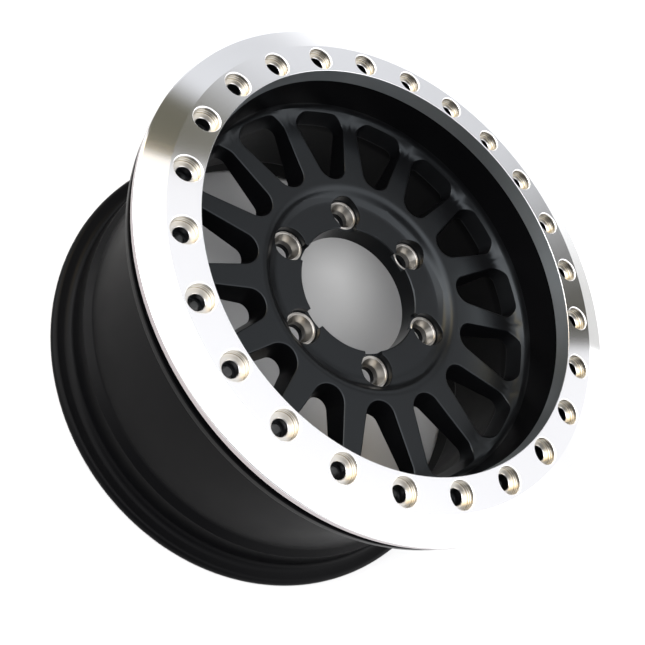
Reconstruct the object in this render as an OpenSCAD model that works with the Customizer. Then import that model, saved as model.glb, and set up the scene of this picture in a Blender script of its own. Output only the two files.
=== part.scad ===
// Beadlock wheel for a 15-inch off-road tyre. A cast wheel with fifteen spokes carries a
// flat ring on its front flange, and the tyre's outer bead is clamped between the two.
// The wheel lies on its rear flange, with its face up and its axis on Z.

/* [Wheel] */
// Height from the back of the rear flange to the land under the ring
wheel_depth = 195.8; // [190:0.1:215]
// Diameter of the raised seat that centres the tyre's outer bead
bead_seat_d = 378; // [372:0.5:384]
// Width of the front flange round that seat, behind the tyre's outer bead
flange_w = 19; // [16:0.5:22]
// Thickness of the front flange
flange_t = 6; // [4:0.5:8]
// Width of the land that carries the ring
land_w = 22.4; // [21.5:0.1:25]
// Height of the land over the front flange
land_step = 5.9; // [4:0.1:8]
// Taper of the dish's wall, in degrees
dish_taper = 2.7; // [1:0.1:4]
// Radius of the fillet between the dish's wall and the spokes
dish_fillet = 12; // [8:0.5:14]

/* [Barrel and rear flange] */
// Wall thickness of the barrel
barrel_wall = 8; // [6:0.5:9]
// Height of the barrel's narrow part, from the front flange to the taper
narrow_h = 56; // [45:1:65]
// How much larger in radius the rear bead seat is than the front one, at its hump
rear_seat_rise = 4; // [2:0.5:6]
// Height of the hump over the foot of the barrel's taper
hump_step = 6; // [3:0.5:8]
// Width of the rear bead seat, from its hump to the rear flange
rear_seat_w = 24.5; // [22:0.5:28]
// Taper of the rear bead seat, in degrees
seat_taper = 6; // [4:0.5:8]
// Height of the rear flange over its bead seat
rear_flange_w = 15; // [13:0.5:18]
// Thickness of the rear flange
rear_flange_t = 9.5; // [8:0.5:11]

/* [Spokes] */
// Depth of the spokes' front faces below the land
spoke_depth = 43.5; // [38:0.5:46]
// Number of windows, and so of spokes
window_count = 15; // [10:1:16]
// Width of the rim between the hub's shoulder and the windows
hub_rim_w = 7.8; // [7:0.1:10]
// Radius of a window's rounded tip
tip_corner_r = 13.2; // [11:0.1:14]
// Angle between a window's side and its centre line, in degrees
window_side_angle = 15.7; // [13:0.1:16]
// Width of the rim between the windows and the foot of the dish's wall
dish_rim_w = 3.4; // [2.5:0.1:6]
// Radius of a window's two outer corners
outer_corner_r = 11; // [9:0.5:12]
// Draft of a window's walls, in degrees
window_draft = 14; // [8:0.5:15]
// Thickness of a spoke where it meets the barrel
spoke_outer_t = 11.3; // [9:0.1:14]
// Thickness of a spoke where it meets the hub
spoke_inner_t = 22.3; // [19:0.1:25]
// Turn of the casting's spokes and lugs against the ring's bolts, in degrees
casting_turn = 0.5; // [-2:0.1:2]

/* [Hub] */
// Diameter of the centre bore
bore_d = 110; // [106:0.5:112]
// Chamfer at the bore's front edge
bore_chamfer = 0.8; // [0.4:0.1:1.5]
// Lead-in chamfer at the bore's back edge, for the vehicle's hub
bore_lead = 3.6; // [2:0.1:5]
// Depth of the hub's pad below the spokes' faces
pad_depth = 8.8; // [7:0.1:11]
// Thickness of the hub at its pad
hub_t = 23; // [20:0.1:26]
// Width of the hub's rim between the lug pockets and the top of its shoulder
shoulder_w = 5.4; // [4:0.1:6]
// Slope of the shoulder, in degrees
shoulder_slope = 52; // [48:0.5:56]
// Rounding of the shoulder's upper edge
shoulder_round = 8.9; // [6:0.1:10]
// Fillet at the shoulder's foot
shoulder_fillet = 13.4; // [8:0.1:14]
// Width of the hub's back face outside the lug circle
hub_back_w = 15; // [12:0.5:17]

/* [Lug holes] */
// Diameter of the circle that the lug holes lie on
lug_circle_d = 139.7; // [139:0.1:140]
// Number of lug holes
lug_count = 6; // [4:1:6]
// Diameter of a lug hole
lug_hole_d = 16; // [14:0.5:17]
// Diameter of a lug's conical seat
lug_seat_d = 23; // [21:0.5:24]
// Full angle of a lug's conical seat, in degrees
lug_seat_angle = 60; // [55:1:90]
// Diameter of the pocket round a lug
lug_pocket_d = 28.9; // [27:0.1:29]
// Depth of the pocket below the hub's pad
lug_pocket_depth = 6.1; // [4:0.1:8]
// Width of the notch from each pocket to the bore
lug_notch_w = 16; // [12:0.5:18]

/* [Beadlock ring] */
// How far the ring's rim stands out past the front flange
ring_overhang = 1.5; // [0.5:0.1:3]
// How far the ring's opening stands in past the dish's wall
ring_inset = 0.5; // [0.2:0.1:1.5]
// Thickness of the ring over the land
ring_t = 14.2; // [13:0.1:16]
// Thickness of the ring over the tyre's bead
ring_lip_t = 10.7; // [9:0.1:12]
// Width of the flat part of the ring's face, from its opening
ring_flat_w = 24; // [23:0.1:28]
// Fall of the ring's face from the flat part to the rim
ring_fall = 4.6; // [3:0.1:6]
// Width of the rounded edge between the ring's face and its rim
ring_edge = 1.5; // [0.8:0.1:2]
// Gap between the ring's step and the seat it drops over
ring_gap = 0.5; // [0.2:0.1:1]

/* [Ring bolts] */
// Distance from the bead seat in to the circle that the bolt holes lie on
bolt_inset = 11; // [10.8:0.1:11.6]
// Number of bolt holes
ring_bolt_count = 24; // [12:1:24]
// Diameter of a bolt hole through the ring
ring_hole_d = 11.5; // [10.5:0.1:12.5]
// Diameter of the counterbore for a bolt's head
counterbore_d = 20; // [18:0.2:20.4]
// Depth of the counterbore
counterbore_depth = 7.4; // [5:0.1:9]
// Chamfer at the counterbore's mouth
mouth_chamfer = 0.75; // [0.4:0.05:1]
// Core diameter of the tapped holes in the land
tapped_hole_d = 8.6; // [8:0.1:9]

/* [Valve] */
// Diameter of the valve hole through the dish's wall
valve_hole_d = 11.5; // [10:0.1:12]
// Height of the valve hole over the spokes' faces
valve_h = 21; // [18:0.5:23]

/* [Hidden] */

round_steps = 7;       // sides of a rounded corner in a section
edge_round = 0.8;      // rounding of machined outside edges
rear_edge_round = 4.5; // rounding of the rear flange's edge
root_fillet = 5;       // fillet where the spokes' backs meet the barrel
flange_fillet = 1;     // fillet between the barrel and the front flange, clear of the tapped holes
cast_blend = 30;       // soft blend where the barrel's taper starts
past = 1;              // how far a cut runs past the face that it opens
lap = 0.02;            // how far a window's round corners run past its flat sides
most_reach = 0.6;      // largest share of a section's side that one rounding may take

bead_h = wheel_depth - land_step;
flange_back_h = bead_h - flange_t;
spoke_h = wheel_depth - spoke_depth;
pad_h = spoke_h - pad_depth;
hub_back_h = pad_h - hub_t;
lug_seat_h = pad_h - lug_pocket_depth;
face_h = wheel_depth + ring_t;
rim_h = face_h - ring_fall;
lip_back_h = face_h - ring_lip_t;
spoke_back_h = spoke_h - spoke_outer_t;
hub_rim_h = spoke_h - spoke_inner_t;
taper_top_h = flange_back_h - narrow_h;
hump_h = rear_flange_t + rear_seat_w;

land_r = bead_seat_d / 2;
flange_r = land_r + flange_w;
dish_r = land_r - land_w;
dish_foot_r = dish_r - spoke_depth * tan(dish_taper);
barrel_r = dish_foot_r + barrel_wall;
hump_r = land_r + rear_seat_rise;
taper_foot_r = hump_r - hump_step;
seat_foot_r = hump_r + rear_seat_w * tan(seat_taper);
rear_flange_r = seat_foot_r + rear_flange_w;

bore_r = bore_d / 2;
lug_circle_r = lug_circle_d / 2;
shoulder_r = lug_circle_r + lug_pocket_d / 2 + shoulder_w;
shoulder_foot_r = shoulder_r - pad_depth / tan(shoulder_slope);
hub_back_r = lug_circle_r + hub_back_w;
hub_rim_r = hub_back_r + 5;

window_tip_r = shoulder_r + hub_rim_w;
window_end_r = dish_foot_r - dish_rim_w;
ring_bore_r = dish_r - ring_inset;
ring_r = flange_r + ring_overhang;
bolt_circle_r = land_r - bolt_inset;
window_angle = 360 / window_count;
window_low_h = hub_rim_h - past;
window_high_h = spoke_h + dish_fillet + past;

// A corner of a section: the corner point b between a and c, rounded to radius r where the
// two sides leave room for it
function rounded_corner(a, b, c, r) =
    r == 0 ? [[b.x, b.y]] :
    let (
        to_a = [a.x - b.x, a.y - b.y],
        to_c = [c.x - b.x, c.y - b.y],
        ua = to_a / norm(to_a),
        uc = to_c / norm(to_c),
        half = acos(ua * uc) / 2,
        reach = min(r / tan(half), most_reach * norm(to_a), most_reach * norm(to_c)),
        radius = reach * tan(half),
        middle = ua + uc,
        centre = [b.x, b.y] + middle / norm(middle) * radius / sin(half),
        first = [b.x, b.y] + ua * reach - centre,
        last = [b.x, b.y] + uc * reach - centre,
        start = atan2(first.y, first.x),
        turn = atan2(first.x * last.y - first.y * last.x, first * last)
    )
    [for (i = [0:round_steps])
        centre + radius * [cos(start + turn * i / round_steps), sin(start + turn * i / round_steps)]];

// A section's outline from its corners, each given as [radius, height, rounding]
function section(corners) =
    let (n = len(corners))
    [for (i = [0:n - 1])
        each rounded_corner(corners[(i + n - 1) % n], corners[i], corners[(i + 1) % n], corners[i].z)];

// A window's shape along +X: a round tip towards the hub, straight sides, two round outer
// corners, and an end that follows the barrel. Its walls lean in towards the back.
window_tip = [window_tip_r + tip_corner_r, 0];
window_side = [cos(window_side_angle), sin(window_side_angle)];
side_normal = [-sin(window_side_angle), cos(window_side_angle)];
corner_base = window_tip + (tip_corner_r - outer_corner_r) * side_normal;
corner_reach = window_end_r - outer_corner_r;
corner_run = sqrt(pow(corner_base * window_side, 2) - corner_base * corner_base + pow(corner_reach, 2))
    - corner_base * window_side;
window_corner = corner_base + corner_run * window_side;

function lean(h) = (h - spoke_h) * tan(window_draft);

function mirrored(p) = [p.x, -p.y];

// The four ends of a window's straight sides at height h
function side_ends(h) =
    let (
        tip_end = window_tip + (tip_corner_r + lean(h)) * side_normal,
        corner_end = window_corner + (outer_corner_r + lean(h)) * side_normal
    )
    [for (p = [mirrored(tip_end), mirrored(corner_end), corner_end, tip_end]) [p.x, p.y, h]];

// A cone that widens upwards with the window's draft, of radius r at the spokes' faces
module drafted_cone(r, sides) {
    translate([0, 0, window_low_h])
        cylinder(r1 = r + lean(window_low_h), r2 = r + lean(window_high_h),
            h = window_high_h - window_low_h, $fn = sides);
}

module window() {
    polyhedron(
        points = concat(side_ends(window_low_h), side_ends(window_high_h)),
        faces = [[0, 1, 2, 3], [7, 6, 5, 4], [0, 4, 5, 1], [1, 5, 6, 2], [2, 6, 7, 3], [3, 7, 4, 0]]);
    translate(window_tip)
        drafted_cone(tip_corner_r + lap, 48);
    for (corner = [window_corner, mirrored(window_corner)])
        translate(corner)
            drafted_cone(outer_corner_r + lap, 48);
    intersection() {
        drafted_cone(window_end_r, 180);
        translate([0, 0, window_low_h])
            linear_extrude(window_high_h - window_low_h)
                polygon([window_tip, mirrored(window_corner), 1.2 * mirrored(window_corner),
                    1.2 * window_corner, window_corner]);
    }
}

// The casting's section, from the bore out over the spokes, dish and land, down the
// outside of the barrel to the rear flange, and back up its inside
module casting_section() {
    polygon(section([
        [bore_r, pad_h - bore_chamfer, 0],
        [bore_r + bore_chamfer, pad_h, 0],
        [shoulder_foot_r, pad_h, shoulder_fillet],
        [shoulder_r, spoke_h, shoulder_round],
        [dish_foot_r, spoke_h, dish_fillet],
        [dish_r, wheel_depth, 0],
        [land_r, wheel_depth, edge_round],
        [land_r, bead_h, edge_round],
        [flange_r, bead_h, edge_round],
        [flange_r, flange_back_h, 2],
        [barrel_r, flange_back_h, flange_fillet],
        [barrel_r, taper_top_h, cast_blend],
        [taper_foot_r, hump_h + hump_step, 5],
        [hump_r, hump_h, 1],
        [seat_foot_r, rear_flange_t, 7],
        [rear_flange_r, rear_flange_t, rear_edge_round],
        [rear_flange_r, 0, rear_edge_round],
        [seat_foot_r + 1, 0, 2],
        [hump_r - barrel_wall + 2, rear_flange_t, 6],
        [hump_r - barrel_wall, hump_h, 6],
        [taper_foot_r - barrel_wall, hump_h + hump_step + 2, 8],
        [dish_foot_r, taper_top_h, cast_blend],
        [dish_foot_r, spoke_back_h, root_fillet],
        [hub_rim_r, hub_rim_h, 4],
        [hub_back_r, hub_back_h, 1.5],
        [bore_r + bore_lead, hub_back_h, 0],
        [bore_r, hub_back_h + bore_lead, 0]
    ]));
}

// One lug: a pocket with a notch to the bore, a conical seat and a straight hole
module lug_cut() {
    seat_depth = (lug_seat_d - lug_hole_d) / 2 / tan(lug_seat_angle / 2);
    cut_h = spoke_h - lug_seat_h;
    translate([lug_circle_r, 0, lug_seat_h])
        cylinder(d = lug_pocket_d, h = cut_h, $fn = 48);
    translate([lug_circle_r, 0, lug_seat_h - seat_depth])
        cylinder(d1 = lug_hole_d, d2 = lug_seat_d, h = seat_depth, $fn = 48);
    translate([lug_circle_r, 0, hub_back_h - past])
        cylinder(d = lug_hole_d, h = cut_h + hub_t, $fn = 48);
    translate([bore_r - lug_notch_w / 2, -lug_notch_w / 2, lug_seat_h])
        cube([lug_circle_r - bore_r + lug_notch_w / 2, lug_notch_w, cut_h]);
}

module wheel() {
    color([0.09, 0.09, 0.09])
        difference() {
            rotate_extrude($fn = 180)
                casting_section();
            rotate([0, 0, casting_turn]) {
                for (i = [0:window_count - 1])
                    rotate([0, 0, 90 + i * window_angle])
                        window();
                for (i = [0:lug_count - 1])
                    rotate([0, 0, i * 360 / lug_count])
                        lug_cut();
                rotate([0, 0, 90 - window_angle])
                    translate([dish_foot_r - past, 0, spoke_h + valve_h])
                        rotate([0, 90, 0])
                            cylinder(d = valve_hole_d, h = barrel_wall + 2 * past, $fn = 32);
            }
            for (i = [0:ring_bolt_count - 1])
                rotate([0, 0, i * 360 / ring_bolt_count])
                    translate([bolt_circle_r, 0, flange_back_h - past])
                        cylinder(d = tapped_hole_d, h = flange_t + land_step + 2 * past, $fn = 32);
        }
}

module ring_section() {
    polygon(section([
        [ring_bore_r, wheel_depth, 0],
        [land_r + ring_gap, wheel_depth, 0],
        [land_r + ring_gap, lip_back_h, 0],
        [ring_r, lip_back_h, edge_round],
        [ring_r, rim_h - ring_edge / 2, ring_edge / 2],
        [ring_r - ring_edge, rim_h, ring_edge / 2],
        [ring_bore_r + ring_flat_w, face_h, 0],
        [ring_bore_r, face_h, edge_round]
    ]));
}

module ring_bolt_cut() {
    cylinder(d = ring_hole_d, h = face_h - wheel_depth + 2 * past, $fn = 48);
    translate([0, 0, past + ring_t - counterbore_depth])
        cylinder(d = counterbore_d, h = counterbore_depth + past, $fn = 48);
    translate([0, 0, past + ring_t - mouth_chamfer])
        cylinder(d1 = counterbore_d, d2 = counterbore_d + 2 * mouth_chamfer, h = mouth_chamfer, $fn = 48);
}

module beadlock_ring() {
    color([0.78, 0.78, 0.8])
        difference() {
            rotate_extrude($fn = 180)
                ring_section();
            for (i = [0:ring_bolt_count - 1])
                rotate([0, 0, i * 360 / ring_bolt_count])
                    translate([bolt_circle_r, 0, wheel_depth - past])
                        ring_bolt_cut();
        }
}

wheel();
beadlock_ring();
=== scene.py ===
import math

import bmesh
import bpy
import numpy as np
from mathutils import Matrix, Vector


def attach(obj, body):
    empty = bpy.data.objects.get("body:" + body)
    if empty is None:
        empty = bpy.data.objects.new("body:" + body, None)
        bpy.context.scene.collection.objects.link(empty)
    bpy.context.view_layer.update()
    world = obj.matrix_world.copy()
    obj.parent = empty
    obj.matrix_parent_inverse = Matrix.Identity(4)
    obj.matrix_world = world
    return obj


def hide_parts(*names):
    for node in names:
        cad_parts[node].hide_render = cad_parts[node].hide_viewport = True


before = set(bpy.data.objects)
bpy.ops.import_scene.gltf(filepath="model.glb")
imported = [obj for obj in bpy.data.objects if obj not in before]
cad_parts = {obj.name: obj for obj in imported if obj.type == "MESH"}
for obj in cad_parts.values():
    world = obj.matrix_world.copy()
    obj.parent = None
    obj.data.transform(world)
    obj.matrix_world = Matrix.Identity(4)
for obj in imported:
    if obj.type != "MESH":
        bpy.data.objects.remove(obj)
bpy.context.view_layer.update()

# Sizes in millimetres, as in the part's source. Heights are over the floor.
WHEEL_DEPTH = 195.8
BEAD_SEAT_R = 189.0
FLANGE_R = 208.0
LAND_R_IN = 166.6
LAND_STEP = 5.9
FLANGE_T = 6.0
SPOKE_DEPTH = 43.5
DISH_TAPER = math.radians(2.7)
DISH_FILLET = 12.0
BARREL_WALL = 8.0
NARROW_H = 56.0
HUMP_R = 193.0
HUMP_STEP = 6.0
SEAT_W = 24.5
SEAT_TAPER = math.radians(6.0)
REAR_FLANGE_W = 15.0
REAR_FLANGE_T = 9.5

WINDOWS = 15
TIP_IN_R = 97.5
TIP_CORNER_R = 13.2
SIDE_ANGLE = math.radians(15.7)
DISH_RIM_W = 3.4
OUTER_CORNER_R = 11.0
DRAFT = math.radians(14.0)
SPOKE_OUTER_T = 11.3
SPOKE_INNER_T = 22.3
CASTING_TURN = 0.5

BORE_R = 55.0
BORE_BEVEL = 0.8
PAD_DEPTH = 8.8
HUB_T = 23.0
BORE_LEAD = 3.6
SHOULDER_R = 89.7
SHOULDER_SLOPE = math.radians(52.0)
HUB_BACK_R = 84.85
HUB_RIM_R = 89.85

LUGS = 6
LUG_CIRCLE_R = 69.85
LUG_HOLE_R = 8.0
LUG_SEAT_R = 11.5
LUG_SEAT_HALF_ANGLE = math.radians(30.0)
LUG_POCKET_R = 14.45
SPOT_R = 13.4
LUG_POCKET_DEPTH = 6.1
NOTCH_HALF_W = 8.0

BOLTS = 24
BOLT_CIRCLE_R = 178.0
RING_T = 14.2
RING_LIP_T = 10.7
RING_BORE_R = 166.1
RING_STEP_R = 189.5
RING_R = 209.5
RING_FLAT_R = 190.1
RING_FALL = 4.6
RING_EDGE = 1.5
RING_HOLE_R = 5.75
COUNTERBORE_R = 10.0
COUNTERBORE_DEPTH = 7.4
MOUTH_CHAMFER = 0.75
TAPPED_R = 4.3

VALVE_TURN = 66
VALVE_RISE = 21.0
VALVE_R = 5.75
VALVE_BAND = 8.4

BEAD_H = WHEEL_DEPTH - LAND_STEP
FLANGE_BACK_H = BEAD_H - FLANGE_T
SPOKE_H = WHEEL_DEPTH - SPOKE_DEPTH
PAD_H = SPOKE_H - PAD_DEPTH
HUB_BACK_H = PAD_H - HUB_T
LEDGE_H = PAD_H - LUG_POCKET_DEPTH
FACE_H = WHEEL_DEPTH + RING_T
RIM_H = FACE_H - RING_FALL
LIP_BACK_H = FACE_H - RING_LIP_T
BORED_H = FACE_H - COUNTERBORE_DEPTH
DISH_FOOT_R = LAND_R_IN - SPOKE_DEPTH * math.tan(DISH_TAPER)
BARREL_R = DISH_FOOT_R + BARREL_WALL
TAPER_TOP_H = FLANGE_BACK_H - NARROW_H
HUMP_H = REAR_FLANGE_T + SEAT_W
TAPER_FOOT_R = HUMP_R - HUMP_STEP
SEAT_FOOT_R = HUMP_R + SEAT_W * math.tan(SEAT_TAPER)
REAR_R = SEAT_FOOT_R + REAR_FLANGE_W
WINDOW_END_R = DISH_FOOT_R - DISH_RIM_W
SHOULDER_FOOT_R = SHOULDER_R - PAD_DEPTH / math.tan(SHOULDER_SLOPE)
SEAT_DEPTH = (LUG_SEAT_R - LUG_HOLE_R) / math.tan(LUG_SEAT_HALF_ANGLE)
NOTCH_EDGE = math.degrees(math.asin(NOTCH_HALF_W / BORE_R))
VALVE_H = SPOKE_H + VALVE_RISE
VALVE_LOW, VALVE_HIGH = VALVE_H - VALVE_BAND, VALVE_H + VALVE_BAND

# Round parts have one point for each degree, and sectors are cut at whole degrees.
DEGREES = 360
LUG_HALF = DEGREES // LUGS // 2
WINDOW_HALF = DEGREES // WINDOWS // 2

# Radii between which each part of the disc is meshed, in front and behind
HUB_OUT_R = 85.2
WINDOW_IN_R = 94.4
WINDOW_OUT_R = 163.8
HUB_BACK_OUT_R = 84.0
WINDOW_BACK_IN_R = 92.0
WINDOW_BACK_OUT_R = 163.2

# Material slots of the two meshes
COATED, SEAT, REAR = range(3)
TURNED, SIDE, BORED, INNER, MOUTH = range(5)


# Mesh kit: quad grids in millimetres, welded into one mesh

class Shell:
    def __init__(self):
        self.points = []
        self.faces = []
        self.slots = []
        self.count = 0

    def grid(self, rows, slot=0, flip=False):
        """rows is an array (a, b, 3) of points; quads join each row to the next."""
        rows = np.asarray(rows, float)
        a, b = rows.shape[:2]
        self.points.append(rows.reshape(-1, 3))
        index = np.arange(a * b).reshape(a, b) + self.count
        quads = np.stack([index[:-1, :-1], index[1:, :-1], index[1:, 1:], index[:-1, 1:]], -1).reshape(-1, 4)
        if flip:
            quads = quads[:, ::-1]
        self.faces.append(quads)
        self.slots.append(np.full(len(quads), slot))
        self.count += a * b

    def build(self, name, sharp_angle=38.0):
        """One mesh object in metres. Points that agree to a thousandth of a millimetre become one."""
        points = np.concatenate(self.points)
        slots = np.concatenate(self.slots)
        keys = np.round(points, 3) + 0.0
        _, first, back = np.unique(keys, axis=0, return_index=True, return_inverse=True)
        faces = back.reshape(-1)[np.concatenate(self.faces)]
        kept, kept_slots = [], []
        for face, slot in zip(faces, slots):
            corners = [int(face[0])]
            for v in face[1:]:
                if int(v) != corners[-1] and int(v) != corners[0]:
                    corners.append(int(v))
            if len(corners) > 2:
                kept.append(corners)
                kept_slots.append(int(slot))
        mesh = bpy.data.meshes.new(name)
        mesh.from_pydata((points[first] / 1000).tolist(), [], kept)
        mesh.polygons.foreach_set("material_index", kept_slots)
        mesh.polygons.foreach_set("use_smooth", [True] * len(mesh.polygons))
        bm = bmesh.new()
        bm.from_mesh(mesh)
        for edge in bm.edges:
            if len(edge.link_faces) == 2 and edge.calc_face_angle(0) > math.radians(sharp_angle):
                edge.smooth = False
        bm.to_mesh(mesh)
        bm.free()
        obj = bpy.data.objects.new(name, mesh)
        bpy.context.scene.collection.objects.link(obj)
        flats = obj.modifiers.new("flats", "WEIGHTED_NORMAL")
        flats.keep_sharp = True
        return obj


def rounded(corners, step=12.0):
    """The open outline through corners [r, z, rounding]. Arcs have one side for each step degrees."""
    out = []
    for i, corner in enumerate(corners):
        b = np.array(corner[:2], float)
        radius = corner[2] if len(corner) > 2 else 0
        if radius == 0 or i in (0, len(corners) - 1):
            out.append(b)
            continue
        to_a = np.array(corners[i - 1][:2], float) - b
        to_c = np.array(corners[i + 1][:2], float) - b
        length_a, length_c = np.linalg.norm(to_a), np.linalg.norm(to_c)
        ua, uc = to_a / length_a, to_c / length_c
        half = math.acos(np.clip(ua @ uc, -1, 1)) / 2
        reach = min(radius / math.tan(half), 0.6 * length_a, 0.6 * length_c)
        radius = reach * math.tan(half)
        centre = b + (ua + uc) / np.linalg.norm(ua + uc) * radius / math.sin(half)
        first, last = b + ua * reach - centre, b + uc * reach - centre
        start = math.atan2(first[1], first[0])
        turn = math.atan2(first[0] * last[1] - first[1] * last[0], first @ last)
        steps = max(2, int(math.ceil(abs(math.degrees(turn)) / step)))
        for k in range(steps + 1):
            angle = start + turn * k / steps
            out.append(centre + radius * np.array([math.cos(angle), math.sin(angle)]))
    return np.array(out)


def refine(line, longest):
    """The same outline with long straight stretches cut up."""
    out = [line[0]]
    for a, b in zip(line[:-1], line[1:]):
        n = max(1, int(math.ceil(np.linalg.norm(b - a) / longest)))
        out += [a + (b - a) * k / n for k in range(1, n + 1)]
    return np.array(out)


def polar(r, degrees, z):
    """Points at radii r and angles in degrees, heights z."""
    angle = np.radians(degrees)
    return np.stack(np.broadcast_arrays(r * np.cos(angle), r * np.sin(angle), z), -1)


def revolve(line, turn=0.0):
    """Rows of a revolved outline: one row for each of its points."""
    angles = np.linspace(0, 360, DEGREES + 1) + turn
    angles[-1] = angles[0]
    return polar(line[:, :1], angles[None, :], line[:, 1:])


def turned(rows, degrees):
    """The same points turned about the axis."""
    c, s = math.cos(math.radians(degrees)), math.sin(math.radians(degrees))
    rows = np.asarray(rows, float)
    x, y, z = rows[..., 0], rows[..., 1], rows[..., 2]
    return np.stack([x * c - y * s, x * s + y * c, z], -1)


def blend(near, far, steps, bias=1.0):
    """Rows of points that lead from one loop to another."""
    share = np.linspace(0, 1, steps + 1)[:, None, None] ** bias
    return near * (1 - share) + far * share


def split_at_radius(line, radius):
    """Cuts an outline whose radius grows steadily, at that radius."""
    k = int(np.searchsorted(line[:, 0], radius))
    t = (radius - line[k - 1, 0]) / (line[k, 0] - line[k - 1, 0])
    cut = line[k - 1] + t * (line[k] - line[k - 1])
    return np.vstack([line[:k], cut]), np.vstack([cut, line[k:]])


def stretch(line, r_from, r_to):
    """The part of an outline between two radii."""
    _, rest = split_at_radius(line, r_from)
    part, _ = split_at_radius(rest, r_to)
    return part


def plan_arc(centre, radius, start, end, steps):
    """Points of an arc and their outward normals."""
    angles = np.linspace(start, end, steps + 1)
    normals = np.stack([np.cos(angles), np.sin(angles)], -1)
    return np.array(centre) + radius * normals, normals


def plan_line(start, end, normal, steps):
    """Points of a straight line and their normals."""
    share = np.linspace(0, 1, steps + 1)[:, None]
    return start + (end - start) * share, np.tile(normal, (steps + 1, 1))


# Annulus with a ring of round holes, cut into equal sectors of whole degrees

def hole_sector(r_in, r_out, circle_r, span, side_steps):
    """The boundary of one sector of an annulus, and the matching directions round its hole."""
    half = span / 2
    inner = np.stack([np.full(span + 1, r_in), np.linspace(half, -half, span + 1)], -1)
    low = np.stack([np.linspace(r_in, r_out, side_steps + 1)[1:], np.full(side_steps, -half)], -1)
    outer = np.stack([np.full(span, r_out), np.linspace(-half, half, span + 1)[1:]], -1)
    high = np.stack([np.linspace(r_out, r_in, side_steps + 1)[1:], np.full(side_steps, half)], -1)
    loop = np.vstack([inner, low, outer, high])
    flat = polar(loop[:, 0], loop[:, 1], 0.0)[:, :2] - np.array([circle_r, 0])
    direction = flat / np.linalg.norm(flat, axis=1)[:, None]
    return loop, direction


def holed_annulus(shell, r_in, r_out, hole_r, height, up):
    """A flat annulus with the bolts' holes. Returns the directions round one hole, for its wall."""
    loop, direction = hole_sector(r_in, r_out, BOLT_CIRCLE_R, DEGREES // BOLTS, 6)
    edge = polar(loop[:, 0], loop[:, 1], height)
    rim = hole_loop(direction, hole_r, height)
    rows = blend(rim, edge, 2, 1.3)
    for k in range(BOLTS):
        shell.grid(turned(rows, k * 360 / BOLTS), flip=not up)
    return direction


def hole_loop(direction, radius, height):
    """The points round one of the bolts' holes."""
    return np.stack([BOLT_CIRCLE_R + radius * direction[:, 0], radius * direction[:, 1],
                     np.full(len(direction), height)], -1)


def hole_walls(shell, direction, profile, slot=0):
    """The wall of each bolt's hole, from its profile [radius, height] downwards."""
    rows = np.stack([hole_loop(direction, r, z) for r, z in profile])
    for k in range(BOLTS):
        shell.grid(turned(rows, k * 360 / BOLTS), slot, flip=True)


# Beadlock ring

def counterbore_profile():
    """The hole's wall, with the shallow steps that the cutter left in the counterbore."""
    cut_r = COUNTERBORE_R - 0.1
    return rounded([
        [COUNTERBORE_R + MOUTH_CHAMFER, FACE_H],
        [COUNTERBORE_R, FACE_H - MOUTH_CHAMFER],
        [cut_r, FACE_H - 2.8],
        [COUNTERBORE_R, FACE_H - 3.0],
        [cut_r, FACE_H - 4.9],
        [COUNTERBORE_R, FACE_H - 5.1],
        [cut_r, BORED_H, 0.4],
        [RING_HOLE_R + 0.4, BORED_H],
        [RING_HOLE_R, BORED_H - 0.4],
        [RING_HOLE_R, WHEEL_DEPTH + 0.3],
        [RING_HOLE_R + 0.3, WHEEL_DEPTH],
    ], 20)


def make_ring():
    shell = Shell()
    flat_in, flat_out = RING_BORE_R + 0.6, RING_FLAT_R - 0.3
    back_in, back_out = RING_BORE_R + 0.3, RING_STEP_R - 0.3
    direction = holed_annulus(shell, flat_in, flat_out, COUNTERBORE_R + MOUTH_CHAMFER, FACE_H, up=True)
    profile = counterbore_profile()
    hole_walls(shell, direction, profile[:2], MOUTH)
    hole_walls(shell, direction, refine(profile[1:], 2.5), BORED)
    holed_annulus(shell, back_in, back_out, RING_HOLE_R + 0.3, WHEEL_DEPTH, up=False)

    outside = rounded([
        [flat_out, FACE_H],
        [RING_FLAT_R, FACE_H, 0.6],
        [RING_R - RING_EDGE, RIM_H, 0.8],
        [RING_R, RIM_H - RING_EDGE / 2, 0.8],
        [RING_R, LIP_BACK_H, 0.6],
        [RING_STEP_R, LIP_BACK_H, 0.4],
        [RING_STEP_R, WHEEL_DEPTH, 0.3],
        [back_out, WHEEL_DEPTH],
    ], 15)
    inside = rounded([
        [back_in, WHEEL_DEPTH],
        [RING_BORE_R, WHEEL_DEPTH, 0.3],
        [RING_BORE_R, FACE_H, 0.6],
        [flat_in, FACE_H],
    ], 18)
    half_turn = DEGREES / BOLTS / 2
    cone_end = int(np.argmax(outside[:, 1] < RIM_H - 1.0))
    bore_end = int(np.argmax(inside[:, 1] > FACE_H - 0.7))
    shell.grid(revolve(refine(outside[:cone_end + 1], 3.0), half_turn), TURNED, flip=True)
    shell.grid(revolve(refine(outside[cone_end:], 3.0), half_turn), SIDE, flip=True)
    shell.grid(revolve(refine(inside[:bore_end + 1], 3.0), half_turn), INNER, flip=True)
    shell.grid(revolve(inside[bore_end:], half_turn), TURNED, flip=True)
    return shell.build("beadlock_ring_machined")


ring = make_ring()


# Wheel casting. Its angles are counted from the first lug, which stands CASTING_TURN from +X.

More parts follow.
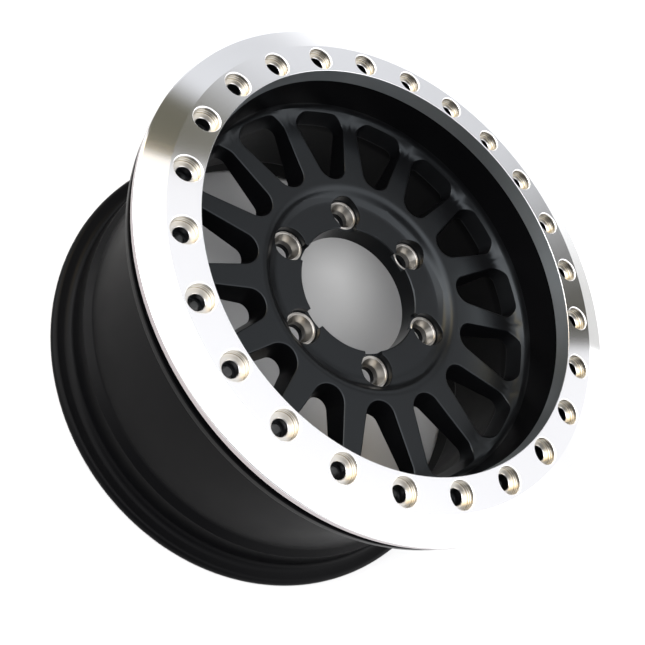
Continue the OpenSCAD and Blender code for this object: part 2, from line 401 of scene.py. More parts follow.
FRONT = rounded([
    [BORE_R + BORE_BEVEL, PAD_H],
    [SHOULDER_FOOT_R, PAD_H, 13.4],
    [SHOULDER_R, SPOKE_H, 8.9],
    [DISH_FOOT_R, SPOKE_H, DISH_FILLET],
    [LAND_R_IN, WHEEL_DEPTH, 0.5],
    [LAND_R_IN + 0.6, WHEEL_DEPTH],
], 7)
BACK = rounded([
    [BORE_R + BORE_LEAD, HUB_BACK_H],
    [HUB_BACK_R, HUB_BACK_H, 1.5],
    [HUB_RIM_R, SPOKE_H - SPOKE_INNER_T, 4],
    [DISH_FOOT_R, SPOKE_H - SPOKE_OUTER_T, 5],
    [DISH_FOOT_R + 0.0001, TAPER_TOP_H],
], 8)
BACK_RISE = BACK[:int(np.argmax(BACK[:, 0] > DISH_FOOT_R - 0.01)) + 1]


def front_h(r):
    return np.interp(r, FRONT[:, 0], FRONT[:, 1])


def back_h(r):
    return np.interp(r, BACK_RISE[:, 0], BACK_RISE[:, 1])


def on_casting(rows):
    return turned(rows, CASTING_TURN)


def window_outline():
    """The window's outline at the spokes' faces, with its normals, from the tip's +Y end round by -Y."""
    tip = np.array([TIP_IN_R + TIP_CORNER_R, 0.0])
    side = np.array([math.cos(SIDE_ANGLE), math.sin(SIDE_ANGLE)])
    normal = np.array([-side[1], side[0]])
    base = tip + (TIP_CORNER_R - OUTER_CORNER_R) * normal
    run = math.sqrt((base @ side) ** 2 - base @ base + (WINDOW_END_R - OUTER_CORNER_R) ** 2) - base @ side
    corner = base + run * side
    turn = math.pi / 2 + SIDE_ANGLE
    end = math.atan2(corner[1], corner[0])
    tip_end, corner_end = tip + TIP_CORNER_R * normal, corner + OUTER_CORNER_R * normal
    mirror = np.array([1.0, -1.0])
    parts = [
        plan_arc(tip, TIP_CORNER_R, turn, 2 * math.pi - turn, 24),
        plan_line(tip_end * mirror, corner_end * mirror, normal * mirror, 14),
        plan_arc(corner * mirror, OUTER_CORNER_R, -turn, -end, 7),
        plan_arc([0, 0], WINDOW_END_R, -end, end, 10),
        plan_arc(corner, OUTER_CORNER_R, end, turn, 7),
        plan_line(corner_end, tip_end, normal, 14),
    ]
    points = np.vstack([p[:-1] for p, _ in parts] + [parts[0][0][:1]])
    normals = np.vstack([n[:-1] for _, n in parts] + [parts[0][1][:1]])
    return points, normals


def sector_outline(r_in, r_out):
    """The boundary (radius, degrees) of a window's sector, in step with window_outline."""
    side = np.linspace(r_in, r_out, 15)
    across = np.arange(-WINDOW_HALF, WINDOW_HALF + 1)
    inner = np.stack([np.full(len(across), r_in), across[::-1]], -1)
    low = np.stack([side, np.full(len(side), -WINDOW_HALF)], -1)
    outer = np.stack([np.full(len(across), r_out), across], -1)
    high = np.stack([side[::-1], np.full(len(side), WINDOW_HALF)], -1)
    return np.vstack([inner, low[1:], outer[1:], high[1:]])


def window_edge(points, normals, height_at):
    """Where the leaning wall meets a face."""
    h = height_at(np.linalg.norm(points, axis=1))
    for _ in range(12):
        spot = points + ((h - SPOKE_H) * math.tan(DRAFT))[:, None] * normals
        h = height_at(np.linalg.norm(spot, axis=1))
    return np.column_stack([spot, h])


def edge_round(edge, normals, height_at, wall, radius, steps):
    """Rows of a rounding between a face (first row) and a wall that runs along wall = (outwards, up)."""
    r = np.linalg.norm(edge[:, :2], axis=1)
    radial = edge[:, :2] / r[:, None]
    slope = (height_at(r + 0.05) - height_at(r - 0.05)) / 0.1 * np.sum(radial * normals, axis=1)
    face = np.stack([np.ones(len(r)), slope], -1)
    face /= np.linalg.norm(face, axis=1)[:, None]
    down = np.array(wall) / np.linalg.norm(wall)
    half = np.arccos(np.clip(face @ down, -1, 1)) / 2
    reach = radius / np.tan(half)
    middle = face + down
    middle /= np.linalg.norm(middle, axis=1)[:, None]
    centre = middle * (radius / np.sin(half))[:, None]
    first, last = face * reach[:, None] - centre, down * reach[:, None] - centre
    start = np.arctan2(first[:, 1], first[:, 0])
    turn = np.arctan2(first[:, 0] * last[:, 1] - first[:, 1] * last[:, 0], np.sum(first * last, axis=1))
    rows = []
    for k in range(steps + 1):
        angle = start + turn * k / steps
        shift = centre + radius * np.stack([np.cos(angle), np.sin(angle)], -1)
        rows.append(edge + np.column_stack([normals * shift[:, :1], shift[:, 1]]))
    rows = np.array(rows)
    rows[0, :, 2] = height_at(np.linalg.norm(rows[0, :, :2], axis=1))
    return rows


def face_rows(rim, outline, height_at, rings):
    """Rows over a face from a cut's rim to an outline (radius, degrees) with as many points."""
    r = np.linalg.norm(rim[:, :2], axis=1)
    angle = np.degrees(np.arctan2(rim[:, 1], rim[:, 0]))
    share = np.linspace(0, 1, rings + 1)[:, None]
    radii = r * (1 - share) + outline[:, 0] * share
    angles = angle * (1 - share) + outline[:, 1] * share
    rows = polar(radii, angles, height_at(radii))
    rows[0] = rim
    return rows


def add_windows(shell):
    points, normals = window_outline()
    lean = math.tan(DRAFT)
    front = edge_round(window_edge(points, normals, front_h), normals, front_h, (-lean, -1), 1.3, 4)
    back = edge_round(window_edge(points, normals, back_h), normals, back_h, (lean, 1), 1.0, 2)
    wall = blend(front[-1], back[-1], 2)
    over = face_rows(front[0], sector_outline(WINDOW_IN_R, WINDOW_OUT_R), front_h, 3)
    under = face_rows(back[0], sector_outline(WINDOW_BACK_IN_R, WINDOW_BACK_OUT_R), back_h, 2)
    rows = np.concatenate([over[::-1], front[1:], wall[1:], back[::-1][1:], under[1:]])
    for k in range(WINDOWS):
        shell.grid(on_casting(turned(rows, 90 + 360 * k / WINDOWS)), flip=True)


# Hub: bore, pad, lug pockets with their notches, conical seats

# the edge of a pocket and of the bore, as (outwards, down) from the sharp edge
POCKET_BEVEL = 0.45
SOFT_BEVEL = 0.13
BEVEL = [(POCKET_BEVEL, 0.0), (SOFT_BEVEL, SOFT_BEVEL), (0.0, POCKET_BEVEL), (0.0, BORE_BEVEL)]

# radii at which a pocket's flanks have a point, close together where the shoulder curves
FLANK_RADII = np.concatenate([79.7 - 0.6 * np.arange(7), 74.0 - 2.5 * np.arange(5), [61.8, 60.2, 59.2]])

# half the stretch of a pocket's edge that faces the shoulder, in degrees round the lug
NOSE_ANGLE = 40
NOTCH_STEPS = 20
BORE_STEPS = 10


def bore_at(z):
    return BORE_R + max(0.0, z - (PAD_H - BORE_BEVEL))


def key_outline(grow, bore_r):
    """The pocket with its notch, from the bore's +Y corner round to its -Y corner."""
    radius, half = LUG_POCKET_R + grow, NOTCH_HALF_W + grow
    widest = LUG_POCKET_R + POCKET_BEVEL
    cosines = (FLANK_RADII ** 2 - LUG_CIRCLE_R ** 2 - widest ** 2) / (2 * LUG_CIRCLE_R * widest)
    last = 180 - math.degrees(math.asin((NOTCH_HALF_W + POCKET_BEVEL) / widest))
    flank = np.append(np.degrees(np.arccos(cosines)), last)
    corner = 180 - math.degrees(math.asin(half / radius))
    flank = NOSE_ANGLE + (flank - NOSE_ANGLE) * (corner - NOSE_ANGLE) / (last - NOSE_ANGLE)
    turns = np.radians(np.concatenate([np.linspace(0, NOSE_ANGLE, LUG_HALF + 1), flank]))
    arc = np.array([LUG_CIRCLE_R, 0]) + radius * np.stack([np.cos(turns), np.sin(turns)], -1)
    mouth = np.array([math.sqrt(bore_r ** 2 - half ** 2), half])
    notch = arc[-1] + (mouth - arc[-1]) * np.array([[0.5], [1.0]])
    path = np.vstack([arc, notch])
    return np.vstack([path[::-1], path[1:] * [1, -1]])


def pocket_wall():
    """Rows down a pocket's wall, from its bevel to the ledge."""
    rows = []
    for grow, drop in BEVEL:
        outline = key_outline(grow, bore_at(PAD_H - drop))
        rim = front_h(np.linalg.norm(outline, axis=1))
        rows.append(np.column_stack([outline, rim - drop]))
    foot = key_outline(0.0, BORE_R)
    for height in (LEDGE_H + 0.5, LEDGE_H):
        rows.append(np.column_stack([foot, np.full(len(foot), height)]))
    return np.array(rows)


def pad_rows(top):
    """The hub's face from a pocket's edge out to its sixth of the hub."""
    radii = np.linalg.norm(top[:, :2], axis=1)
    middle = len(top) // 2
    outline = np.zeros((len(top), 2))
    for i in range(len(top)):
        away = abs(i - middle)
        sign = 1 if i < middle else -1
        outline[i] = [HUB_OUT_R, sign * away] if away <= LUG_HALF else [radii[i], sign * LUG_HALF]
    return face_rows(top, outline, front_h, 9)


def seat_profile():
    """A lug's seat and hole, with a fine groove round the seat, and the row from which they are coated."""
    bare_h, groove_h = LEDGE_H - 0.3, LEDGE_H - 0.6
    profile = refine(rounded([
        [SPOT_R, LEDGE_H],
        [SPOT_R - 0.1, bare_h, 0.08],
        [12.3, bare_h, 0.08],
        [12.0, groove_h, 0.08],
        [11.7, bare_h, 0.08],
        [LUG_SEAT_R - 0.17, bare_h, 0.08],
        [LUG_HOLE_R, LEDGE_H - SEAT_DEPTH, 0.4],
        [LUG_HOLE_R, HUB_BACK_H + 0.5],
        [LUG_HOLE_R + 0.5, HUB_BACK_H],
    ], 45), 6.0)
    return profile, int(np.argmax(profile[:, 1] < LEDGE_H - SEAT_DEPTH - 0.6))


def hub_back_outline():
    """The boundary (radius, degrees) of a lug's sixth of the hub's back, in step with the seat's rows."""
    side = np.linspace(BORE_R + BORE_LEAD, HUB_BACK_OUT_R, 9)
    across = np.arange(LUG_HALF, -LUG_HALF - 1, -1)
    flank = np.linspace(NOTCH_EDGE, LUG_HALF, BORE_STEPS + 1)
    notch = np.linspace(-NOTCH_EDGE, NOTCH_EDGE, NOTCH_STEPS + 1)
    stretches = [
        (side[0], flank),
        (side[1:], LUG_HALF),
        (side[-1], across[1:]),
        (side[::-1][1:], -LUG_HALF),
        (side[0], -flank[::-1][1:]),
        (side[0], notch[1:]),
    ]
    return np.vstack([np.stack(np.broadcast_arrays(r, a), -1) for r, a in stretches])


def bore_walls():
    """Rows down the bore: from a notch to the middle between two lugs, and under a notch."""
    low_h = HUB_BACK_H + BORE_LEAD
    middle_h = (LEDGE_H + low_h) / 2
    below = [(BORE_R, LEDGE_H), (BORE_R, middle_h), (BORE_R, low_h), (BORE_R + BORE_LEAD, HUB_BACK_H)]
    wall = []
    for grow, drop in BEVEL:
        r = bore_at(PAD_H - drop)
        edge = math.degrees(math.asin((NOTCH_HALF_W + grow) / r))
        wall.append(polar(r, np.linspace(edge, LUG_HALF, BORE_STEPS + 1), PAD_H - drop))
    for r, z in [(BORE_R, LEDGE_H + 0.5)] + below:
        wall.append(polar(r, np.linspace(NOTCH_EDGE, LUG_HALF, BORE_STEPS + 1), z))
    across = np.linspace(-NOTCH_EDGE, NOTCH_EDGE, NOTCH_STEPS + 1)
    return np.array(wall), np.array([polar(r, across, z) for r, z in below])


def add_hub(shell):
    wall = pocket_wall()
    notch_arc = polar(BORE_R, np.linspace(-NOTCH_EDGE, NOTCH_EDGE, NOTCH_STEPS + 1), LEDGE_H)
    loop = np.vstack([wall[-1], notch_arc[1:]])
    centre = np.array([LUG_CIRCLE_R, 0])
    direction = loop[:, :2] - centre
    direction /= np.linalg.norm(direction, axis=1)[:, None]

    def circle(radius, height):
        return np.column_stack([centre + radius * direction, np.full(len(direction), height)])

    profile, coated_from = seat_profile()
    seat = np.array([circle(r, z) for r, z in profile])
    back_outline = hub_back_outline()
    back_edge = polar(back_outline[:, 0], back_outline[:, 1], HUB_BACK_H)
    bore, under_notch = bore_walls()
    parts = [
        (pad_rows(wall[0]), COATED, False),
        (wall, COATED, True),
        (blend(loop, circle(SPOT_R, LEDGE_H), 3), COATED, True),
        (seat[:coated_from + 1], SEAT, True),
        (seat[coated_from:], COATED, True),
        (blend(seat[-1], back_edge, 5), COATED, True),
        (bore, COATED, False),
        (bore * np.array([1, -1, 1]), COATED, True),
        (under_notch, COATED, False),
    ]
    for k in range(LUGS):
        for rows, slot, flip in parts:
            shell.grid(on_casting(turned(rows, 360 * k / LUGS)), slot, flip)


# Dish wall with the valve hole, land, bead flange and barrel

VALVE_SPAN = 5
VALVE_ROWS = 4


def valve_band(shell, radius_at, flip):
    """The band of wall that the valve hole goes through. Returns the hole's rim."""
    heights = np.linspace(VALVE_LOW, VALVE_HIGH, VALVE_ROWS + 1)
    angles = np.arange(VALVE_TURN + VALVE_SPAN, VALVE_TURN + 360 - VALVE_SPAN + 1)
    rest = np.array([polar(radius_at(z), angles, z) for z in heights])
    shell.grid(on_casting(rest), REAR, flip=flip)
    across = np.arange(-VALVE_SPAN, VALVE_SPAN + 1)
    loop = [(a, VALVE_LOW) for a in across]
    loop += [(VALVE_SPAN, z) for z in heights[1:]]
    loop += [(a, VALVE_HIGH) for a in across[::-1][1:]]
    loop += [(-VALVE_SPAN, z) for z in heights[::-1][1:]]
    rim, edge = [], []
    for a, z in loop:
        r = radius_at(z)
        point = np.array([r * math.sin(math.radians(a)), z - VALVE_H])
        spot = point / np.linalg.norm(point) * VALVE_R
        r_spot = radius_at(VALVE_H + spot[1])
        rim.append([math.sqrt(r_spot ** 2 - spot[0] ** 2), spot[0], VALVE_H + spot[1]])
        edge.append(polar(r, a, z))
    rim, edge = np.array(rim), np.array(edge)
    middle = (rim + edge) / 2
    r_middle = np.array([radius_at(z) for z in middle[:, 2]])
    middle[:, :2] *= (r_middle / np.linalg.norm(middle[:, :2], axis=1))[:, None]
    shell.grid(on_casting(turned(np.array([rim, middle, edge]), VALVE_TURN)), REAR, flip=flip)
    return rim


def dish_radius(z):
    return DISH_FOOT_R + (z - SPOKE_H) * math.tan(DISH_TAPER)


def add_dish(shell):
    """The wall from the windows up to the land, and the barrel's wall behind the valve hole."""
    _, dish = split_at_radius(FRONT, WINDOW_OUT_R)
    low = np.vstack([dish[dish[:, 1] < VALVE_LOW - 0.1], [dish_radius(VALVE_LOW), VALVE_LOW]])
    high = np.vstack([[dish_radius(VALVE_HIGH), VALVE_HIGH], dish[dish[:, 1] > VALVE_HIGH + 0.1]])
    shell.grid(revolve(low, CASTING_TURN), flip=True)
    shell.grid(revolve(refine(high, 20.0), CASTING_TURN), REAR, flip=True)
    inner_rim = valve_band(shell, dish_radius, flip=True)
    outer_rim = valve_band(shell, lambda z: BARREL_R, flip=False)
    shell.grid(on_casting(turned(blend(inner_rim, outer_rim, 2), VALVE_TURN)), flip=True)


def add_land(shell):
    """The land with its tapped holes, and the bead's flange."""
    flange_in, flange_out = BARREL_R + 1.0, FLANGE_R - 2.5
    direction = holed_annulus(shell, FRONT[-1, 0], BEAD_SEAT_R - 0.8, TAPPED_R + 0.4, WHEEL_DEPTH, up=True)
    thread = [[TAPPED_R + 0.4, WHEEL_DEPTH], [TAPPED_R, WHEEL_DEPTH - 0.4], [TAPPED_R, FLANGE_BACK_H]]
    hole_walls(shell, direction, thread)
    bead = rounded([
        [BEAD_SEAT_R - 0.8, WHEEL_DEPTH],
        [BEAD_SEAT_R, WHEEL_DEPTH, 0.7],
        [BEAD_SEAT_R, BEAD_H, 0.8],
        [FLANGE_R, BEAD_H, 0.8],
        [FLANGE_R, FLANGE_BACK_H, 2.0],
        [flange_out, FLANGE_BACK_H],
    ], 25)
    shell.grid(revolve(refine(bead, 20.0), CASTING_TURN), REAR, flip=True)
    holed_annulus(shell, flange_in, flange_out, TAPPED_R, FLANGE_BACK_H, up=False)
    below = rounded([
        [flange_in, FLANGE_BACK_H],
        [BARREL_R, FLANGE_BACK_H, 0.96],
        [BARREL_R, VALVE_HIGH],
    ], 30)
    shell.grid(revolve(below, CASTING_TURN), REAR, flip=True)


def add_barrel(shell):
    """The barrel's outside down to the rear flange, and back up inside to the spokes' backs."""
    outline = rounded([
        [BARREL_R, VALVE_LOW],
        [BARREL_R, TAPER_TOP_H, 30],
        [TAPER_FOOT_R, HUMP_H + HUMP_STEP, 5],
        [HUMP_R, HUMP_H, 1],
        [SEAT_FOOT_R, REAR_FLANGE_T, 7],
        [REAR_R, REAR_FLANGE_T, 4.5],
        [REAR_R, 0, 4.5],
        [SEAT_FOOT_R + 1, 0, 2],
        [HUMP_R - BARREL_WALL + 2, REAR_FLANGE_T, 6],
        [HUMP_R - BARREL_WALL, HUMP_H, 6],
        [TAPER_FOOT_R - BARREL_WALL, HUMP_H + HUMP_STEP + 2, 8],
        [DISH_FOOT_R, TAPER_TOP_H, 30],
        [DISH_FOOT_R, BACK_RISE[-1, 1]],
    ], 30)
    shell.grid(revolve(refine(outline, 30.0), CASTING_TURN), REAR, flip=True)
    _, root = split_at_radius(BACK_RISE, WINDOW_BACK_OUT_R)
    root[-1, 0] = DISH_FOOT_R
    shell.grid(revolve(root, CASTING_TURN))


def make_wheel():
    shell = Shell()
    add_windows(shell)
    add_hub(shell)
    shell.grid(revolve(stretch(FRONT, HUB_OUT_R, WINDOW_IN_R), CASTING_TURN), flip=True)
    shell.grid(revolve(stretch(BACK_RISE, HUB_BACK_OUT_R, WINDOW_BACK_IN_R), CASTING_TURN))
    add_dish(shell)
    add_land(shell)
    add_barrel(shell)
    return shell.build("wheel_casting")


wheel = make_wheel()


# Node kit, for the materials and the studio

def ramp(tree, value, start, end, low, high, kind="LINEAR"):
    """Takes a value's stretch from start to end to the stretch from low to high."""
    node = tree.nodes.new("ShaderNodeMapRange")
    node.interpolation_type = kind
    for name, level in (("From Min", start), ("From Max", end), ("To Min", low), ("To Max", high)):
        node.inputs[name].default_value = level
    tree.links.new(value, node.inputs["Value"])
    return node.outputs["Result"]


def joined(tree, operation, *values):
    """A Math node over numbers and sockets, repeated from left to right."""
    result = values[0]
    for value in values[1:]:
        node = tree.nodes.new("ShaderNodeMath")
        node.operation = operation
        for i, term in enumerate((result, value)):
            if isinstance(term, (int, float)):
                node.inputs[i].default_value = term
            else:
                tree.links.new(term, node.inputs[i])
        result = node.outputs["Value"]
    return result


def split_axes(tree, vector):
    node = tree.nodes.new("ShaderNodeSeparateXYZ")
    tree.links.new(vector, node.inputs["Vector"])
    return node.outputs["X"], node.outputs["Y"], node.outputs["Z"]


def object_point(tree):
    return tree.nodes.new("ShaderNodeTexCoord").outputs["Object"]


# Materials

NOISE_SPAN = (0.3, 0.7)
COAT_BLACK = (0.0012, 0.0012, 0.0014, 1)
COAT_ROUGHNESS = (0.29, 0.35)
MARK_ROUGHNESS = 0.02
BAND_PERIOD = 0.0021
# Painted colours of the counterbores: a golden band that is a painted reflection, a bright band that is a
# painted highlight, and painted shade in the through-holes
BAND_PAINTED_GOLD = (0.37, 0.315, 0.21, 1)
BAND_PAINTED_HIGHLIGHT = (0.68, 0.68, 0.68, 1)
HOLE_PAINTED_SHADE = (0.05, 0.05, 0.055, 1)


def nodes_of(name, **values):
    """A material whose shader has these values, with underscores for the spaces in their names."""
    material = bpy.data.materials.new(name)
    material.use_nodes = True
    surface = material.node_tree.nodes["Principled BSDF"]
    for key, value in values.items():
        surface.inputs[key.replace("_", " ")].default_value = value
    return material, material.node_tree, surface


def noise(tree, point, scale, detail):
    node = tree.nodes.new("ShaderNodeTexNoise")
    node.inputs["Scale"].default_value = scale
    node.inputs["Detail"].default_value = detail
    tree.links.new(point, node.inputs["Vector"])
    return node.outputs["Fac"]


def add_bump(tree, surface, height, strength, distance):
    bump = tree.nodes.new("ShaderNodeBump")
    bump.inputs["Strength"].default_value = strength
    bump.inputs["Distance"].default_value = distance
    tree.links.new(height, bump.inputs["Height"])
    tree.links.new(bump.outputs["Normal"], surface.inputs["Normal"])


def coat_material(name, shine, tint):
    """Satin black powder coat, whose gloss varies a little from place to place."""
    material, tree, surface = nodes_of(name, Base_Color=COAT_BLACK, Metallic=0.0, IOR=1.5,
                                       Specular_IOR_Level=shine, Specular_Tint=(*tint, 1))
    patches = noise(tree, object_point(tree), 60.0, 3.0)
    tree.links.new(ramp(tree, patches, *NOISE_SPAN, *COAT_ROUGHNESS), surface.inputs["Roughness"])
    add_bump(tree, surface, noise(tree, object_point(tree), 1500.0, 2.0), 0.12, 0.0002)
    return material


def turned_material(name, tone, roughness, anisotropic):
    """Metal with fine marks round the wheel's axis."""
    material, tree, surface = nodes_of(name, Base_Color=(*tone, 1), Metallic=1.0, Anisotropic=anisotropic,
                                       Anisotropic_Rotation=0.25)
    tangent = tree.nodes.new("ShaderNodeTangent")
    tangent.direction_type = "RADIAL"
    tangent.axis = "Z"
    tree.links.new(tangent.outputs["Tangent"], surface.inputs["Tangent"])
    x, y, _ = split_axes(tree, object_point(tree))
    flat = tree.nodes.new("ShaderNodeCombineXYZ")
    tree.links.new(x, flat.inputs["X"])
    tree.links.new(y, flat.inputs["Y"])
    length = tree.nodes.new("ShaderNodeVectorMath")
    length.operation = "LENGTH"
    tree.links.new(flat.outputs["Vector"], length.inputs[0])
    line = tree.nodes.new("ShaderNodeCombineXYZ")
    tree.links.new(length.outputs["Value"], line.inputs["X"])
    marks = noise(tree, line.outputs["Vector"], 2500.0, 2.0)
    levels = ramp(tree, marks, *NOISE_SPAN, roughness - MARK_ROUGHNESS, roughness + MARK_ROUGHNESS)
    tree.links.new(levels, surface.inputs["Roughness"])
    add_bump(tree, surface, marks, 0.05, 0.0001)
    return material


def bored_material():
    """Metal of the bolts' holes: bands in step with the cutter's steps in the counterbores, coloured as a
    painted golden reflection and a painted highlight, and painted shade below them.
    """
    material, tree, surface = nodes_of("bored_aluminium", Metallic=1.0, Roughness=0.30)
    _, _, z = split_axes(tree, object_point(tree))
    wave = joined(tree, "MULTIPLY", z, 2 * math.pi / BAND_PERIOD)
    bands = tree.nodes.new("ShaderNodeMath")
    bands.operation = "SINE"
    tree.links.new(wave, bands.inputs[0])
    # painted reflection and painted highlight in bands along the counterbore's wall
    painted_band_tones = mixed(tree, ramp(tree, bands.outputs["Value"], -0.6, 0.5, 0.0, 1.0), BAND_PAINTED_GOLD, BAND_PAINTED_HIGHLIGHT)
    floor_h = BORED_H / 1000
    # painted shade in the through-hole, below the counterbore's floor
    hole_shade = mixed(tree, ramp(tree, z, floor_h - 0.0009, floor_h - 0.0004, 0.0, 1.0), HOLE_PAINTED_SHADE, painted_band_tones)
    tree.links.new(hole_shade, surface.inputs["Base Color"])
    return material


def mixed(tree, share, low, high):
    """From one colour to another colour or socket."""
    node = tree.nodes.new("ShaderNodeMix")
    node.data_type = "RGBA"
    tree.links.new(share, node.inputs["Factor"])
    node.inputs["A"].default_value = low
    if isinstance(high, tuple):
        node.inputs["B"].default_value = high
    else:
        tree.links.new(high, node.inputs["B"])
    return node.outputs["Result"]


COAT = coat_material("black_coat", 0.29, (0.86, 0.94, 1.0))
# A copy of the black coat with much weaker reflections, for the outside faces: painted shade.
REAR_COAT_DIMMED = coat_material("black_coat_rear_painted_shade", 0.045, (1.0, 1.0, 1.0))
# The seats' metal is a darker, warmer copy of the machined aluminium: painted shade with a painted warm
# reflection.
SEAT_METAL_SHADED = turned_material("seat_aluminium_painted_shade", (0.40, 0.385, 0.36), 0.30, 0.0)
RING_METAL = turned_material("turned_aluminium", (0.80, 0.80, 0.81), 0.13, 0.9)
# The ring's side is a darker copy of the machined aluminium: painted shade.
SIDE_METAL_SHADED = turned_material("side_aluminium_painted_shade", (0.40, 0.365, 0.37), 0.32, 0.0)
BORED_METAL = bored_material()
# The ring's bore is a darker, cooler copy of the machined aluminium: painted shade with a painted cool
# reflection.
BORE_METAL_SHADED = turned_material("bore_aluminium_painted_shade", (0.62, 0.66, 0.68), 0.34, 0.0)
# The mouths' chamfers are a brighter, rougher copy of the ring's metal; the brighter tone is a painted
# highlight.
RIM_METAL_LIT = turned_material("rim_aluminium_painted_highlight", (0.86, 0.86, 0.86), 0.55, 0.0)


def dress(piece, node_name, materials):
    """Puts materials on a piece, in the order of its slots, and the first on the node it stands for."""
    for material in materials:
        piece.data.materials.append(material)
    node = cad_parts[node_name]
    node.data.materials.clear()
    node.data.materials.append(materials[0])


dress(wheel, "wheel", [COAT, SEAT_METAL_SHADED, REAR_COAT_DIMMED])
dress(ring, "beadlock_ring", [RING_METAL, SIDE_METAL_SHADED, BORED_METAL, BORE_METAL_SHADED, RIM_METAL_LIT])
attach(wheel, "root")
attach(ring, "root")
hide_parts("wheel")
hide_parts("beadlock_ring")


# Stage: a pale floor, which is white where no shadow lies, and soft light

FLOOR_REACH = 6.0
FLOOR_H = -0.0005
FLOOR_TONE = (0.45, 0.45, 0.45, 1)


def make_floor():
    mesh = bpy.data.meshes.new("floor")
    corners = [(x * FLOOR_REACH, y * FLOOR_REACH, FLOOR_H) for x, y in ((-1, -1), (1, -1), (1, 1), (-1, 1))]
    mesh.from_pydata(corners, [], [(0, 1, 2, 3)])
    floor = bpy.data.objects.new("floor", mesh)
    bpy.context.scene.collection.objects.link(floor)
    material, _, _ = nodes_of("floor_paper", Base_Color=FLOOR_TONE, Roughness=0.9, Specular_IOR_Level=0.0)
    mesh.materials.append(material)


def toward(tree, heading, direction, start, end, low, high):
    """A soft step over the cosine between where one looks and a direction."""
    product = tree.nodes.new("ShaderNodeVectorMath")
    product.operation = "DOT_PRODUCT"
    product.inputs[1].default_value = Vector(direction).normalized()
    tree.links.new(heading, product.inputs[0])
    return ramp(tree, product.outputs["Value"], start, end, low, high, "SMOOTHSTEP")


def glow_sum(tree, glows):
    """The sum of brightnesses, each with its colour."""
    total = None
    for strength, color in glows:
        glow = tree.nodes.new("ShaderNodeVectorMath")
        glow.operation = "SCALE"
        glow.inputs[0].default_value = color
        tree.links.new(strength, glow.inputs["Scale"])
        if total is None:
            total = glow.outputs["Vector"]
            continue
        added = tree.nodes.new("ShaderNodeVectorMath")
        added.operation = "ADD"
        tree.links.new(total, added.inputs[0])
        tree.links.new(glow.outputs["Vector"], added.inputs[1])
        total = added.outputs["Vector"]
    return total


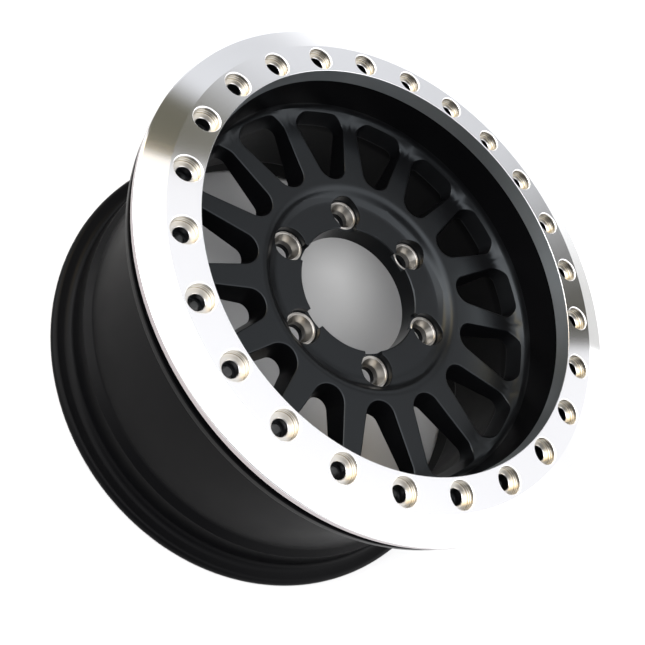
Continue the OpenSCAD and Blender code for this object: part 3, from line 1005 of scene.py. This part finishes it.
def make_studio():
    """The studio round the wheel, as a brightness for each direction (x, y, z).

    A bright ceiling ends in a bent line over the far side, and the ring shows that line. Behind
    it are a bluish wall and a dark gap. A soft window and a small golden patch stand on the +X
    side, and the horizon is pale all round.
    """
    world = bpy.data.worlds.new("studio")
    bpy.context.scene.world = world
    world.use_nodes = True
    tree = world.node_tree
    place = tree.nodes.new("ShaderNodeTexCoord")
    normal = tree.nodes.new("ShaderNodeVectorMath")
    normal.operation = "NORMALIZE"
    tree.links.new(place.outputs["Generated"], normal.inputs[0])
    heading = normal.outputs["Vector"]
    x, y, z = split_axes(tree, heading)

    # the ceiling's far edge, a line with three bends
    edge = joined(tree, "ADD",
                  ramp(tree, x, -0.80, -0.42, -0.612, -0.562),
                  ramp(tree, x, -0.42, -0.20, 0.0, -0.109),
                  ramp(tree, x, -0.20, 0.37, 0.0, 0.148))
    ceiling = ramp(tree, joined(tree, "SUBTRACT", y, edge), -0.004, 0.004, 0.0, 1.0, "SMOOTHSTEP")
    beyond = joined(tree, "SUBTRACT", 1.0, ceiling)

    # the ceiling's light: a bright band overhead, a shade near the zenith, a dark gap over the near side
    band = joined(tree, "MULTIPLY",
                  ramp(tree, y, -0.34, -0.14, 0.0, 1.0, "SMOOTHSTEP"),
                  ramp(tree, y, 0.25, 0.60, 1.0, 0.0, "SMOOTHSTEP"),
                  ramp(tree, x, -0.8, 0.3, 1.5, 3.2))
    shade = toward(tree, heading, (-0.36, 0.10, 0.93), 0.95, 0.99, 1.0, 0.72)
    near_gap = toward(tree, heading, (0.08, 0.89, 0.42), 0.76, 0.93, 1.0, 0.12)
    card = joined(tree, "MULTIPLY", joined(tree, "ADD", band, 1.2), near_gap, ceiling, shade)

    # behind the edge: the wall, up to a slanting line, and the dark gap beside it
    wall_top = joined(tree, "SUBTRACT", y, ramp(tree, x, -0.50, -0.15, -0.60, -0.70))
    slant = joined(tree, "SUBTRACT", joined(tree, "MULTIPLY", y, 0.857), joined(tree, "MULTIPLY", x, 0.514))
    wall_share = joined(tree, "MULTIPLY",
                        ramp(tree, wall_top, -0.05, 0.04, 1.0, 0.0, "SMOOTHSTEP"),
                        ramp(tree, slant, -0.48, -0.24, 1.0, 0.0, "SMOOTHSTEP"))
    wall = joined(tree, "MULTIPLY", wall_share, beyond,
                  ramp(tree, z, 0.1, 0.6, 0.66, 1.0), ramp(tree, x, -0.45, -0.1, 0.83, 1.0))
    dark = joined(tree, "MULTIPLY", beyond, joined(tree, "SUBTRACT", 1.0, wall_share),
                  ramp(tree, x, -0.5, 0.0, 0.07, 0.17))

    window = toward(tree, heading, (0.86, 0.12, 0.50), 0.80, 0.96, 0.0, 1.7)
    golden = toward(tree, heading, (0.60, -0.35, 0.72), 0.975, 0.992, 0.0, 5.0)
    horizon = ramp(tree, z, 0.27, 0.36, 0.85, 0.0, "SMOOTHSTEP")
    light = glow_sum(tree, [
        (card, (0.98, 0.98, 1.0)),
        (wall, (0.95, 0.965, 1.0)),
        (window, (1.0, 0.97, 0.92)),
        (golden, (1.0, 0.72, 0.30)),
        (dark, (1.0, 0.95, 0.72)),
        (horizon, (1.0, 1.0, 1.0)),
    ])
    studio = tree.nodes["Background"]
    tree.links.new(light, studio.inputs["Color"])
    studio.inputs["Strength"].default_value = 1.0


def make_lamp():
    """A wide soft lamp from the camera's side, which lights the floor through the wheel's openings."""
    data = bpy.data.lights.new("soft_lamp", "SUN")
    data.energy = 4.0
    data.angle = math.radians(30)
    lamp = bpy.data.objects.new("soft_lamp", data)
    bpy.context.scene.collection.objects.link(lamp)
    lamp.rotation_euler = Vector((0.22, 0.81, 1.0)).to_track_quat("Z", "Y").to_euler()
    lamp.visible_glossy = False


# The photo's camera, solved from the ring's 24 holes: its place in metres and its three axes
CAMERA_PLACE = (0.19858, 0.37432, 0.61688)
CAMERA_RIGHT = Vector((-0.80389395, -0.26229139, 0.53381433))
CAMERA_DOWN = Vector((-0.52660334, 0.73109404, -0.4338092))
CAMERA_AHEAD = Vector((-0.27648405, -0.629845, -0.72584561))


def make_camera():
    data = bpy.data.cameras.new("camera")
    data.lens = 43.155
    data.sensor_width = 36
    data.shift_x = -0.0498
    data.shift_y = -0.1228
    camera = bpy.data.objects.new("camera", data)
    bpy.context.scene.collection.objects.link(camera)
    turn = Matrix((CAMERA_RIGHT, -CAMERA_DOWN, -CAMERA_AHEAD)).transposed()
    camera.matrix_world = Matrix.Translation(CAMERA_PLACE) @ turn.to_4x4()
    bpy.context.scene.camera = camera


make_floor()
make_studio()
make_lamp()
make_camera()
bpy.context.scene.view_settings.view_transform = "Standard"


def lowest_highest(obj):
    co = np.array([v.co for v in obj.evaluated_get(bpy.context.evaluated_depsgraph_get()).data.vertices])
    return co.min(0), co.max(0)


boxes = [lowest_highest(obj) for obj in (wheel, ring)]
